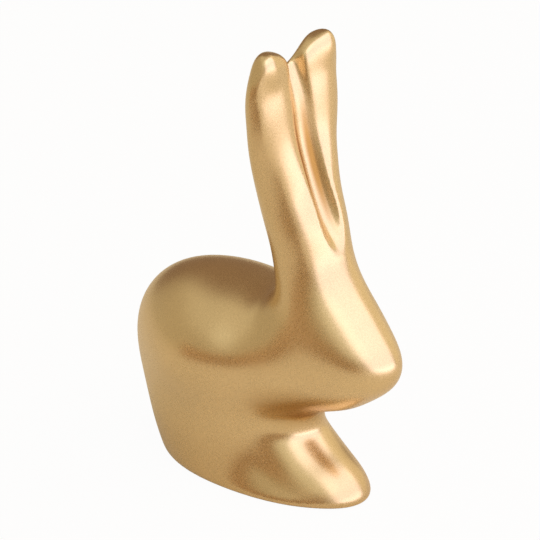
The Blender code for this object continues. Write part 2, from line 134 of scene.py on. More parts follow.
# How the surfaces are worked out, with lengths in millimetres
HALF_SEARCH = (96.0, 54.0)  # forward and side, where a surface is looked for
SKIN_TOP = 258.0
HOLLOW_TOP = 200.0
CELLS_BELOW = 2.7  # grid cells looked at under a surface's floor
POINTS_AT_ONCE = 60000
LEAST_SLOPE = 0.02  # of the blended masses, where a distance is divided by it
PROBE = 0.1  # step over which a field's slope is read
LEAST_SLOPE_SQUARED = 0.1
LONGEST_MOVE = 3.0  # of a point in one step onto the surface
DRAWS = 3  # steps onto the surface
LONGEST_REACH = 200.0  # sought from the middle of the sole
HALVINGS = 40


@dataclass
class Patch:
    """An ellipsoid where shade is painted into the gold's colour.

    Its middle and half sizes are along x, y and z, in millimetres, and pitch turns it about
    the x axis, in degrees.
    """

    middle: tuple
    halves: tuple
    pitch: float = 0.0


# Painted shade: the gold is deepened under the chin, on the groove's walls and near the base, where
# shade falls
UNDER_CHIN = Patch(middle=(0, -34, 55), halves=(36, 24, 15))
GROOVE_WALLS = Patch(middle=(4.0, 26.5, 186), halves=(2.3, 9, 32), pitch=19.3)
NEAR_BASE = Patch(middle=(0, 0, 0), halves=(100, 100, 30))
BASE_SHADE_SHARE = 0.22  # share of the painted shade near the base
PATCH_FULL = 0.3  # of the half sizes, where a patch is full
PATCH_GONE = 1.5


@dataclass
class Lamp:
    """A soft rectangular lamp that faces the figure.

    Its bearing is from the camera to the right and its elevation is from the floor, in
    degrees, its distance and sizes are in metres, and share is of the key light.
    """

    name: str
    bearing: float
    elevation: float
    distance: float
    width: float
    height: float
    share: float
    colour: tuple


LAMPS = [
    Lamp(name="key_panel", bearing=51, elevation=34, distance=1.5, width=3.1, height=2.3,
         share=1.0, colour=(0.97, 0.955, 1.38)),
    Lamp(name="side_panel", bearing=124, elevation=20, distance=1.5, width=1.2, height=1.5,
         share=0.38, colour=(1.0, 0.88, 0.66)),
    Lamp(name="low_strip", bearing=56, elevation=-0.6, distance=0.8, width=1.35, height=0.2,
         share=0.66, colour=(1.0, 0.95, 1.25)),
]


@dataclass
class RoomPart:
    """A round part of the room with a colour of its own.

    Bearing and elevation as a lamp's. The colour is full inside one angle from there and
    gone outside another, in degrees.
    """

    bearing: float
    elevation: float
    full: float
    gone: float
    colour: tuple


BRIGHT_ABOVE = RoomPart(bearing=-14, elevation=42, full=14, gone=34, colour=(0.90, 0.86, 0.70))
DARK_BEHIND = RoomPart(bearing=185, elevation=12, full=26, gone=44, colour=(0.25, 0.15, 0.08))
DARK_ABOVE = RoomPart(bearing=185, elevation=50, full=12, gone=34, colour=(0.27, 0.165, 0.09))
ROOM_PARTS = [BRIGHT_ABOVE, DARK_BEHIND, DARK_ABOVE]
CEILING_FROM = 0.4  # upward part of a direction, from where the walls turn into the ceiling
CEILING_FULL = 0.77

# Stage, in metres, with bearings in degrees from the camera to the right
TARGET = Vector((0.0, -0.001, 0.1185))  # looked at and lit
FLOOR_HALF = 6.0
CARD_BEARINGS = (-80, -3)
CARD_RADIUS = 0.5
CARD_BOTTOM = 0.002
CARD_HEIGHT = 0.165
CARD_POINTS = 45
SENSOR_WIDTH = 36.0  # millimetres, as the lens
LENS = 280.0
LENS_DISTANCE = 2.2  # at which the figure fills the picture with that lens
CAMERA_SHIFT = (-0.0031, -0.0042)
FARTHEST_SEEN = 40.0
WHITE = (1.0, 1.0, 1.0, 1.0)


# Surfaces


def mass_rows(masses, shrink=0.0):
    """The masses as rows of millimetres and radians, with the mirrored twins added."""
    rows = []
    for mass in masses:
        for sign in ((1, -1) if mass.mirrored else (1,)):
            rows.append((mass.forward, sign * mass.side, mass.height + RIM_HEIGHT,
                         mass.half_length - shrink, mass.half_width - shrink,
                         mass.half_height - shrink, math.radians(mass.pitch),
                         sign * math.radians(mass.lean), mass.firmness))
    return np.array(rows)


def blended_distance(points, rows):
    """Distance of points from the blended masses, negative inside.

    Each mass gives exp(firmness * (1 - q * q)), where q is the distance from its centre
    in units of its half sizes. The surface is where these sum to one, and the distance is
    minus the logarithm of the sum, over the length of that logarithm's gradient.
    """
    out = np.empty(len(points))
    for start in range(0, len(points), POINTS_AT_ONCE):
        some = slice(start, start + POINTS_AT_ONCE)
        out[some] = blended_chunk(points[some], rows)
    return out


def blended_chunk(points, rows):
    """The blended distance of some of the points."""
    forward, side, height, length, width, tall, pitch, lean, firmness = rows.T
    ahead = points[:, None, 0] - forward
    across = points[:, None, 1] - side
    up = points[:, None, 2] - height
    tipped_across = across * np.cos(lean) - up * np.sin(lean)
    tipped_up = across * np.sin(lean) + up * np.cos(lean)
    u = (ahead * np.cos(pitch) + tipped_up * np.sin(pitch)) / length
    v = tipped_across / width
    w = (tipped_up * np.cos(pitch) - ahead * np.sin(pitch)) / tall
    power = firmness * (1 - u * u - v * v - w * w)
    highest = power.max(axis=1, keepdims=True)
    share = np.exp(power - highest)
    total = share.sum(axis=1, keepdims=True)
    value = -(highest[:, 0] + np.log(total[:, 0]))
    share = share / total * 2 * firmness
    slope_ahead = u * np.cos(pitch) / length - w * np.sin(pitch) / tall
    slope_up = u * np.sin(pitch) / length + w * np.cos(pitch) / tall
    slope_across = v / width
    gradient = np.stack([
        (share * slope_ahead).sum(axis=1),
        (share * (slope_across * np.cos(lean) + slope_up * np.sin(lean))).sum(axis=1),
        (share * (slope_up * np.cos(lean) - slope_across * np.sin(lean))).sum(axis=1),
    ], axis=1)
    return value / np.maximum(np.linalg.norm(gradient, axis=1), LEAST_SLOPE)


def smooth_larger(a, b, rounding):
    """The larger of two distances, plus a cubic of how close they are, to round the corner."""
    near = np.maximum(rounding - np.abs(a - b), 0) / rounding
    return np.maximum(a, b) + near ** 3 * rounding / 6


def natural_spline(knots, values, at):
    """Natural cubic spline through values at knots, read at the given places."""
    step = np.diff(knots)
    system = np.eye(len(knots))
    right = np.zeros(len(knots))
    for i in range(1, len(knots) - 1):
        system[i, i - 1:i + 2] = step[i - 1], 2 * (step[i - 1] + step[i]), step[i]
        right[i] = 6 * ((values[i + 1] - values[i]) / step[i]
                        - (values[i] - values[i - 1]) / step[i - 1])
    bend = np.linalg.solve(system, right)
    span = np.clip(np.searchsorted(knots, at, side="right") - 1, 0, len(knots) - 2)
    t = at - knots[span]
    h = step[span]
    slope = (values[span + 1] - values[span]) / h - h * (2 * bend[span] + bend[span + 1]) / 6
    cubic = t * (bend[span + 1] - bend[span]) / (6 * h)
    return values[span] + t * (slope + t * (bend[span] / 2 + cubic))


def groove_distance(points):
    """Distance from the round bar that the groove is cut with.

    The bar's middle lies in the middle plane at a forward place that is a spline of the
    height, and so is its radius: the length of (forward offset over the square root of
    one plus slope squared, side, depth under the bar's lower end), less the radius.
    """
    heights, forwards, radii = np.array(GROOVE_PATH).T
    level = np.clip(points[:, 2] - RIM_HEIGHT, heights[0], heights[-1])
    under = level - np.minimum(points[:, 2] - RIM_HEIGHT, heights[-1])
    forward = natural_spline(heights, forwards, level)
    slope = natural_spline(heights, forwards, np.minimum(level + 1, heights[-1])) - forward
    radius = natural_spline(heights, radii, level)
    across = (points[:, 0] - forward) / np.sqrt(1 + slope * slope)
    return np.sqrt(across ** 2 + points[:, 1] ** 2 + under ** 2) - radius


def surface_net(field, low, high, spacing):
    """Points and four-sided faces of the surface where a field is zero, on a cubic grid.

    Each grid cell that the surface passes gets one point, the mean of the places where
    its edges cross zero, and each grid edge that crosses zero gets the face between the
    four cells round it.
    """
    low = np.array(low, float)
    count = np.ceil((np.array(high) - low) / spacing).astype(int) + 1
    axes = [low[i] + spacing * np.arange(count[i]) for i in range(3)]
    grid = np.stack(np.meshgrid(*axes, indexing="ij"), axis=-1)
    value = field(grid.reshape(-1, 3)).reshape(count)
    inside = value < 0
    cells = count - 1
    corners = [(a, b, c) for a in (0, 1) for b in (0, 1) for c in (0, 1)]
    filled = sum(inside[a:cells[0] + a, b:cells[1] + b, c:cells[2] + c].astype(int)
                 for a, b, c in corners)
    crossed = (filled > 0) & (filled < 8)
    number = np.full(cells, -1)
    number[crossed] = np.arange(crossed.sum())
    place = np.argwhere(crossed)
    total = np.zeros((len(place), 3))
    hits = np.zeros(len(place))
    for first in corners:
        for axis in range(3):
            if first[axis]:
                continue
            second = tuple(1 if k == axis else first[k] for k in range(3))
            start = value[tuple((place + first).T)]
            end = value[tuple((place + second).T)]
            cross = (start < 0) != (end < 0)
            share = np.where(cross, start / np.where(cross, start - end, 1), 0)
            step = np.array(second) - np.array(first)
            total += cross[:, None] * (np.array(first) + share[:, None] * step)
            hits += cross
    points = low + spacing * (place + total / hits[:, None])
    faces = []
    for axis in range(3):
        others = [k for k in range(3) if k != axis]
        near = [slice(1, count[k] - 1) for k in range(3)]
        near[axis] = slice(0, count[axis] - 1)
        far = list(near)
        far[axis] = slice(1, count[axis])
        edge = np.argwhere(inside[tuple(near)] != inside[tuple(far)])
        edge += np.array([0 if k == axis else 1 for k in range(3)])
        ring = []
        for one, two in ((1, 1), (0, 1), (0, 0), (1, 0)):
            cell = edge.copy()
            cell[:, others[0]] -= one
            cell[:, others[1]] -= two
            ring.append(number[tuple(cell.T)])
        ring = np.stack(ring, axis=1)
        turn = inside[tuple(edge.T)]
        if axis == 1:  # the other two axes follow it in reverse order
            turn = ~turn
        faces.append(np.where(turn[:, None], ring[:, ::-1], ring))
    return points, np.concatenate(faces)


def drawn_to_surface(points, field):
    """Points moved a few times along the field's gradient, by value over gradient squared."""
    for _ in range(DRAWS):
        gradient = np.stack([(field(points + step) - field(points - step)) / (2 * PROBE)
                             for step in np.eye(3) * PROBE], axis=1)
        shift = field(points) / np.maximum((gradient ** 2).sum(axis=1), LEAST_SLOPE_SQUARED)
        points = points - gradient * np.clip(shift, -LONGEST_MOVE, LONGEST_MOVE)[:, None]
    return points


def to_world(points):
    """Forward, side and height in millimetres as x, y and z in metres."""
    return np.stack([points[:, 1], -points[:, 0], points[:, 2]], axis=1) * MM


def to_figure(points):
    """x, y and z in metres as forward, side and height in millimetres."""
    return np.stack([-points[:, 1], points[:, 0], points[:, 2]], axis=1) / MM


def all_round():
    """Forward and side of a step of one, at even bearings all the way round."""
    bearing = np.linspace(0, 2 * math.pi, OUTLINE_POINTS, endpoint=False)
    return np.stack([np.cos(bearing), np.sin(bearing)], axis=1)


def sole_outline(rows):
    """The outline that the figure fills from the rim up to the recess's shoulder.

    At each bearing from the middle of the sole, the reach is found by halving, at the rim
    and at the shoulder, and the smaller of the two counts.
    """
    reach = np.full(OUTLINE_POINTS, LONGEST_REACH)
    for level in (RIM_HEIGHT, SHOULDER_HEIGHT):
        near = np.zeros(OUTLINE_POINTS)
        far = np.full(OUTLINE_POINTS, LONGEST_REACH)
        for _ in range(HALVINGS):
            middle = (near + far) / 2
            plan = PLAN_CENTRE + all_round() * middle[:, None]
            points = np.column_stack([plan, np.full(OUTLINE_POINTS, level)])
            inside = blended_distance(points, rows) < 0
            near = np.where(inside, middle, near)
            far = np.where(inside, far, middle)
        reach = np.minimum(reach, near)
    return PLAN_CENTRE + all_round() * reach[:, None]


def opening_outline():
    """The oval opening through the flange: an ellipse about its own middle."""
    return (OPENING_FORWARD, 0) + all_round() * (OPENING_LENGTH / 2, OPENING_WIDTH / 2)


def inset_outline(outline, distance):
    """The outline moved inward by a distance, square to itself."""
    tangent = np.roll(outline, -1, axis=0) - np.roll(outline, 1, axis=0)
    inward = np.stack([-tangent[:, 1], tangent[:, 0]], axis=1)
    return outline + inward / np.linalg.norm(inward, axis=1, keepdims=True) * distance


# Meshes


def mesh_object(name, points, faces):
    """An object at the origin from points in metres and faces, pointing outward."""
    mesh = bpy.data.meshes.new(name)
    mesh.from_pydata(points.tolist(), [], [list(face) for face in faces])
    bm = bmesh.new()
    bm.from_mesh(mesh)
    bmesh.ops.recalc_face_normals(bm, faces=bm.faces)
    bm.to_mesh(mesh)
    bm.free()
    piece = bpy.data.objects.new(name, mesh)
    bpy.context.scene.collection.objects.link(piece)
    return piece


def apply_modifiers(piece):
    """Replace a piece's mesh by what its modifiers make of it."""
    graph = bpy.context.evaluated_depsgraph_get()
    mesh = bpy.data.meshes.new_from_object(piece.evaluated_get(graph))
    piece.modifiers.clear()
    old = piece.data
    piece.data = mesh
    bpy.data.meshes.remove(old)


def combine(piece, tool, operation):
    """Cut or join a piece with a tool, which is then removed."""
    modifier = piece.modifiers.new(operation.lower(), "BOOLEAN")
    modifier.operation = operation
    modifier.solver = "EXACT"
    modifier.object = tool
    apply_modifiers(piece)
    mesh = tool.data
    bpy.data.objects.remove(tool)
    bpy.data.meshes.remove(mesh)


def slab(name, outline, bottom, top):
    """A flat solid between two levels, its outline given as forward and side in millimetres."""
    count = len(outline)
    low = np.column_stack([outline, np.full(count, bottom)])
    high = np.column_stack([outline, np.full(count, top)])
    index = np.arange(count)
    after = (index + 1) % count
    sides = np.stack([index, after, after + count, index + count], axis=1)
    faces = [list(side) for side in sides] + [list(index[::-1]), list(index + count)]
    return mesh_object(name, to_world(np.concatenate([low, high])), faces)


def blended_skin(name, field, spacing, floor, top):
    """The surface of a field between two levels, as a mesh on a grid of the given spacing."""
    ahead, across = HALF_SEARCH
    low = (-ahead, -across, floor - CELLS_BELOW * spacing)
    points, faces = surface_net(field, low, (ahead, across, top), spacing)
    return mesh_object(name, to_world(drawn_to_surface(points, field)), faces)


def refine(skin, field):
    """Split each face in four, even the new points out and draw them onto the surface."""
    split = skin.modifiers.new("split", "SUBSURF")
    split.subdivision_type = "SIMPLE"
    split.levels = 1
    split.render_levels = 1
    relax = skin.modifiers.new("relax", "SMOOTH")
    relax.factor = 0.5
    relax.iterations = 2
    apply_modifiers(skin)
    flat = np.empty(len(skin.data.vertices) * 3, dtype=np.float32)
    skin.data.vertices.foreach_get("co", flat)
    points = drawn_to_surface(to_figure(flat.reshape(-1, 3).astype(float)), field)
    skin.data.vertices.foreach_set("co", to_world(points).astype(np.float32).ravel())
    skin.data.update()


# Materials


class Wire:
    """An output socket, with arithmetic that adds Math nodes."""

    def __init__(self, recipe, socket):
        self.recipe = recipe
        self.socket = socket

    def worked(self, operation, first, second):
        """What a Math node makes of two numbers or wires."""
        node = self.recipe.node("ShaderNodeMath", {"operation": operation}, {0: first, 1: second})
        return Wire(self.recipe, node.outputs[0])

    def __add__(self, other):
        return self.worked("ADD", self, other)

    __radd__ = __add__

    def __mul__(self, other):
        return self.worked("MULTIPLY", self, other)

    __rmul__ = __mul__

    def __sub__(self, other):
        return self.worked("SUBTRACT", self, other)

    def __rsub__(self, other):
        return self.worked("SUBTRACT", other, self)


class Recipe:
    """A node tree of a material or the world, filled node by node."""

    def __init__(self, tree):
        self.tree = tree
        tree.nodes.clear()

    def node(self, kind, settings=None, inputs=None):
        """Add a node: its settings first, then the values or wires of its sockets."""
        node = self.tree.nodes.new(kind)
        for key, value in (settings or {}).items():
            setattr(node, key, value)
        for key, value in (inputs or {}).items():
            if isinstance(value, Wire):
                self.tree.links.new(value.socket, node.inputs[key])
            else:
                node.inputs[key].default_value = value
        return node

    def wire(self, kind, settings=None, inputs=None, output=0):
        """Add a node and return one of its outputs."""
        return Wire(self, self.node(kind, settings, inputs).outputs[output])

    def place(self):
        """The surface's own place on the object."""
        return self.wire("ShaderNodeTexCoord", output="Object")

    def noise(self, size, detail, rough, place=None):
        """Cloudy noise around a half, with features of about the given size in metres."""
        return self.wire("ShaderNodeTexNoise", None, {
            "Vector": place or self.place(), "Scale": 1.0 / size, "Detail": detail,
            "Roughness": rough}, "Fac")

    def mix(self, share, first, second):
        """A colour between two colours."""
        node = self.node("ShaderNodeMix", {"data_type": "RGBA"}, {0: share, 6: first, 7: second})
        return Wire(self, node.outputs[2])

    def bump(self, height, depth):
        """A normal tilted by a height map, at full scale depth in metres."""
        return self.wire("ShaderNodeBump", None, {
            "Height": height, "Distance": depth, "Strength": 1.0})

    def white_share(self, seen, mirrored):
        """How much of a backdrop is plain white, seen directly and mirrored or through glass."""
        ray = self.node("ShaderNodeLightPath")
        camera, glossy, clear = [Wire(self, ray.outputs["Is " + kind + " Ray"])
                                 for kind in ("Camera", "Glossy", "Transmission")]
        return camera * seen + (glossy + clear) * mirrored

    def eased(self, value, start, end):
        """Nothing at the start, one at the end, and a smooth step between."""
        return self.wire("ShaderNodeMapRange", {"interpolation_type": "SMOOTHSTEP"}, {
            "Value": value, "From Min": start, "From Max": end})

    def within(self, place, patch):
        """One in the middle of a patch, fading to nothing a little outside it."""
        own = self.wire("ShaderNodeMapping", {"vector_type": "TEXTURE"}, {
            "Vector": place, "Location": [part * MM for part in patch.middle],
            "Rotation": (math.radians(patch.pitch), 0, 0),
            "Scale": [half * MM for half in patch.halves]})
        reach = self.wire("ShaderNodeVectorMath", {"operation": "LENGTH"}, {0: own}, "Value")
        return self.eased(reach, PATCH_GONE, PATCH_FULL)

    def output(self, kind, shader):
        """Lead a shader into the tree's output."""
        out = self.node(kind)
        self.tree.links.new(shader.outputs[0], out.inputs[0])

    def whitened_output(self, kind, shader, white_kind, share):
        """Lead a shader and a share of plain white light into the tree's output."""
        white = self.wire(white_kind, None, {"Color": WHITE})
        mixed = self.node("ShaderNodeMixShader", None, {
            0: share, 1: Wire(self, shader.outputs[0]), 2: white})
        self.output(kind, mixed)


def opaque(colour, level=1.0):
    """A colour times a level, with full alpha."""
    return (*[channel * level for channel in colour], 1.0)


def surface_material(name, inputs, build):
    """A Principled material: plain inputs on its sockets, then what build adds as wires."""
    material = bpy.data.materials.new(name)
    material.use_nodes = True
    recipe = Recipe(material.node_tree)
    shader = recipe.node("ShaderNodeBsdfPrincipled", None, inputs)
    recipe.output("ShaderNodeOutputMaterial", shader)
    for key, wire in build(recipe).items():
        recipe.tree.links.new(wire.socket, shader.inputs[key])
    return material


def dress(piece, material):
    """Put one material on a piece."""
    if piece.data.materials:
        for index in range(len(piece.data.materials)):
            piece.data.materials[index] = material
    else:
        piece.data.materials.append(material)


def gold_lacquer(finish):
    """Satin gold lacquer on a casting, with fine flake, faint clouding and a soft grain.

    Painted shade makes it deeper in the crease under the chin, on both walls of the groove
    between the ears and a little towards the base.
    """
    colour = opaque(finish.gold_colour)
    deep = opaque(finish.gold_colour, finish.flake_depth)
    # Painted shade: the deep gold that stands in for shade in the creases and near the base
    shade_gold = opaque(finish.painted_shade_colour)

    def build(recipe):
        place = recipe.place()
        flake = recipe.noise(finish.flake_size, 1.0, 0.6, place)
        cloud = recipe.noise(21 * MM, 3.0, 0.55, place)
        grain = recipe.noise(finish.flake_size * 1.7, 2.0, 0.6, place)
        spread = recipe.wire("ShaderNodeMapRange", None, {
            "Value": flake * 0.75 + cloud * 0.25, "From Min": 0.36, "From Max": 0.62})
        either_side = recipe.wire("ShaderNodeVectorMath", {"operation": "ABSOLUTE"}, {0: place})
        # Painted shade under the chin, on both walls of the groove and towards the base
        crease = recipe.within(place, UNDER_CHIN) + recipe.within(either_side, GROOVE_WALLS)
        shade_mask = crease + recipe.within(place, NEAR_BASE) * BASE_SHADE_SHARE
        return {
            "Base Color": recipe.mix(shade_mask, recipe.mix(spread, deep, colour), shade_gold),
            "Roughness": cloud * 0.06 + flake * 0.10 + (finish.gold_roughness - 0.08),
            "Normal": recipe.bump(grain, finish.grain_height),
        }

    return surface_material("satin_gold_lacquer", {
        "Metallic": 1.0, "Coat Weight": 0.35, "Coat Roughness": 0.3}, build)


def zinc_plate():
    """Zinc-plated sheet steel: faint rolling lines and clouded plating."""
    dull = opaque((0.50, 0.51, 0.53))
    bright = opaque((0.64, 0.65, 0.66))
    squeeze = (40.0, 1.0, 1.0)

    def build(recipe):
        place = recipe.place()
        squeezed = recipe.wire("ShaderNodeMapping", None, {"Vector": place, "Scale": squeeze})
        lines = recipe.noise(20 * MM, 2.0, 0.5, squeezed)
        cloud = recipe.noise(12 * MM, 3.0, 0.6, place)
        return {
            "Base Color": recipe.mix(cloud, dull, bright),
            "Roughness": lines * 0.2 + cloud * 0.12 + 0.24,
            "Normal": recipe.bump(lines, 0.01 * MM),
        }

    return surface_material("zinc_plated_steel", {"Metallic": 1.0}, build)


def black_rubber():
    """Moulded black rubber with a dusty, dull skin."""
    clean = opaque((0.018, 0.018, 0.018))
    dusty = opaque((0.045, 0.044, 0.042))

    def build(recipe):
        place = recipe.place()
        dust = recipe.noise(3 * MM, 3.0, 0.6, place)
        skin = recipe.noise(0.5 * MM, 2.0, 0.6, place)
        return {
            "Base Color": recipe.mix(dust, clean, dusty),
            "Roughness": dust * 0.2 + 0.6,
            "Normal": recipe.bump(skin, 0.03 * MM),
        }

    return surface_material("gasket_rubber", {"Metallic": 0.0}, build)


def black_felt(finish):
    """Pressed felt: short matted fibres in two depths of near-black."""
    dark = opaque(finish.pad_colour)
    pale = opaque(finish.pad_colour, 2.4)

    def build(recipe):
        place = recipe.place()
        fibre = recipe.noise(0.6 * MM, 4.0, 0.75, place)
        matting = recipe.noise(4 * MM, 2.0, 0.5, place)
        return {
            "Base Color": recipe.mix(fibre * 0.7 + matting * 0.3, dark, pale),
            "Roughness": fibre * 0.1 + 0.88,
            "Normal": recipe.bump(fibre, 0.25 * MM),
        }

    return surface_material("black_felt", {"Metallic": 0.0, "Sheen Weight": 0.3}, build)


def cast_iron():
    """Sand-cast iron: pitted and dull, with a little rust in patches."""
    iron = opaque((0.075, 0.075, 0.08))
    rusty = opaque((0.13, 0.055, 0.03))

    def build(recipe):
        place = recipe.place()
        sand = recipe.noise(0.9 * MM, 4.0, 0.65, place)
        rust = recipe.wire("ShaderNodeMapRange", None, {
            "Value": recipe.noise(9 * MM, 4.0, 0.6, place), "From Min": 0.52, "From Max": 0.7})
        return {
            "Base Color": recipe.mix(rust, iron, rusty),
            "Metallic": 0.9 - rust * 0.6,
            "Roughness": sand * 0.2 + rust * 0.2 + 0.42,
            "Normal": recipe.bump(sand, 0.18 * MM),
        }

    return surface_material("cast_iron", {}, build)


def screw_steel():
    """Bright zinc-plated screws with fine turning marks."""
    dull = opaque((0.56, 0.57, 0.58))
    bright = opaque((0.70, 0.70, 0.69))
    squeeze = (1.0, 1.0, 14.0)

    def build(recipe):
        place = recipe.place()
        squeezed = recipe.wire("ShaderNodeMapping", None, {"Vector": place, "Scale": squeeze})
        turning = recipe.noise(4 * MM, 1.0, 0.5, squeezed)
        cloud = recipe.noise(2 * MM, 2.0, 0.5, place)
        return {
            "Base Color": recipe.mix(cloud, dull, bright),
            "Roughness": turning * 0.14 + 0.24,
            "Normal": recipe.bump(turning, 0.02 * MM),
        }

    return surface_material("screw_steel", {"Metallic": 1.0}, build)


# Settings


class RabbitSizes(bpy.types.PropertyGroup):
    """Sizes of the casting's skin."""

    spacing: FloatProperty(
        name="Mesh spacing", description="Grid the skin is first worked out on",
        default=2.1 * MM, min=1.6 * MM, max=6 * MM, unit="LENGTH", precision=5)
    cavity_spacing: FloatProperty(
        name="Hollow spacing", description="Grid the hollow inside is worked out on",
        default=4.0 * MM, min=2.0 * MM, max=8 * MM, unit="LENGTH", precision=5)
    groove_edge: FloatProperty(
        name="Groove edge", description="Rounding of the edges of the groove between the ears",
        default=4.0 * MM, min=0.2 * MM, max=6 * MM, unit="LENGTH", precision=5)
    rim_rounding: FloatProperty(
        name="Rim rounding", description="Rounding between the flank and the flat rim",
        default=6.0 * MM, min=1 * MM, max=12 * MM, unit="LENGTH", precision=5)


class RabbitFinish(bpy.types.PropertyGroup):
    """Colours and surface of the finishes."""

    gold_colour: FloatVectorProperty(
        name="Gold", description="Colour of the gold lacquer", subtype="COLOR", size=3,
        default=(0.80, 0.605, 0.33), min=0, max=1)
    # Painted shade: deep gold that stands in for shade in the creases and near the base
    painted_shade_colour: FloatVectorProperty(
        name="Painted shade gold", description="Deep gold painted as shade in the creases and near the base",
        subtype="COLOR", size=3, default=(0.42, 0.225, 0.05), min=0, max=1)
    gold_roughness: FloatProperty(
        name="Gold roughness", description="How satin the gold is", default=0.28, min=0, max=1)
    flake_size: FloatProperty(
        name="Flake size", description="Size of the flakes in the lacquer",
        default=0.8 * MM, min=0.1 * MM, max=4 * MM, unit="LENGTH", precision=5)
    flake_depth: FloatProperty(
        name="Flake depth", description="Brightness of the darkest flakes",
        default=0.87, min=0, max=1)
    grain_height: FloatProperty(
        name="Grain height", description="Height of the lacquer's fine grain",
        default=0.015 * MM, min=0, max=0.5 * MM, unit="LENGTH", precision=6)
    pad_colour: FloatVectorProperty(
        name="Pad", description="Colour of the felt pad", subtype="COLOR", size=3,
        default=(0.012, 0.012, 0.013), min=0, max=1)


class RabbitStage(bpy.types.PropertyGroup):
    """Floor, card, lamps, room and camera."""

    floor_colour: FloatVectorProperty(
        name="Floor", description="Colour of the floor", subtype="COLOR", size=3,
        default=(0.80, 0.73, 0.53), min=0, max=1)
    floor_white: FloatProperty(
        name="Floor white", description="How white the floor is to the camera",
        default=0.96, min=0, max=1)
    floor_gloss: FloatProperty(
        name="Floor shine", description="How white the floor is in what mirrors or passes light",
        default=0.1, min=0, max=1)
    room_gloss: FloatProperty(
        name="Room shine", description="How white the room is in what mirrors or passes light",
        default=0.05, min=0, max=1)
    key_level: FloatProperty(
        name="Key light", description="Brightness of the lamps", default=1.03, min=0, max=5)
    wall_colour: FloatVectorProperty(
        name="Walls", description="Colour of the room's walls", subtype="COLOR", size=3,
        default=(0.525, 0.435, 0.285), min=0, max=1)
    ceiling_colour: FloatVectorProperty(
        name="Ceiling", description="Colour of the room high up", subtype="COLOR", size=3,
        default=(0.70, 0.62, 0.46), min=0, max=1)
    card_colour: FloatVectorProperty(
        name="Card", description="Colour of the low card in front, out of the picture",
        subtype="COLOR", size=3, default=(0.60, 0.45, 0.28), min=0, max=1)
    fill_level: FloatProperty(
        name="Room light", description="Brightness of the room", default=1.0, min=0, max=5)
    camera_azimuth: FloatProperty(
        name="Camera azimuth", description="Bearing of the camera round the figure, from its front",
        default=math.radians(-47.97), subtype="ANGLE")
    camera_elevation: FloatProperty(
        name="Camera elevation", description="Height angle of the camera",
        default=math.radians(25.54), subtype="ANGLE")
    camera_distance: FloatProperty(
        name="Camera distance", description="From the camera to the middle of the figure",
        default=2.2, min=0.5, max=10, unit="LENGTH")


# Operators


class RABBIT_OT_casting(bpy.types.Operator):
    """Make the gold casting with its groove, rolled rim, recess and hollow"""

    bl_idname = "rabbit.casting"
    bl_label = "Casting"

    def execute(self, context):
        sizes = context.scene.rabbit_sizes
        rows = mass_rows(MASSES)
        hollow_rows = mass_rows([mass for mass in MASSES if mass.hollow], WALL)
        groove_edge = sizes.groove_edge / MM
        rim_rounding = sizes.rim_rounding / MM

        def outside(points):
            distance = blended_distance(points, rows) + SKIN_INSET
            distance = smooth_larger(distance, -groove_distance(points), groove_edge)
            return smooth_larger(distance, RIM_HEIGHT - points[:, 2], rim_rounding)

        def inside(points):
            distance = blended_distance(points, hollow_rows)
            return smooth_larger(distance, FLANGE_TOP - points[:, 2], WALL)

        skin = blended_skin("casting_skin", outside, sizes.spacing / MM, RIM_HEIGHT, SKIN_TOP)
        refine(skin, outside)
        cavity = blended_skin("cavity", inside, sizes.cavity_spacing / MM, FLANGE_TOP, HOLLOW_TOP)
        opening = slab("opening", opening_outline(), SHOULDER_HEIGHT - SPARE_DEPTH,
                       FLANGE_TOP + 2 * WALL)
        recess = slab("recess", inset_outline(sole_outline(rows), LIP), -SPARE_DEPTH,
                      SHOULDER_HEIGHT)
        combine(cavity, opening, "UNION")
        combine(cavity, recess, "UNION")
        combine(skin, cavity, "DIFFERENCE")
        skin.data.shade_smooth()
        skin.data.set_sharp_from_angle(angle=math.radians(SHARP_ANGLE))
        dress(skin, gold_lacquer(context.scene.rabbit_finish))
        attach(skin, "root")
        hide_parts("body_shell")
        return {"FINISHED"}


class RABBIT_OT_base(bpy.types.Operator):
    """Finish the plate, gasket, pad, ballast and screws under the casting"""

    bl_idname = "rabbit.base"
    bl_label = "Base"

    def execute(self, context):
        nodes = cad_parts
        dress(nodes["base_plate"], zinc_plate())
        dress(nodes["base_gasket"], black_rubber())
        dress(nodes["base_pad"], black_felt(context.scene.rabbit_finish))
        dress(nodes["ballast_block"], cast_iron())
        steel = screw_steel()
        for name in nodes:
            if "_screw_" in name:
                dress(nodes[name], steel)
        return {"FINISHED"}


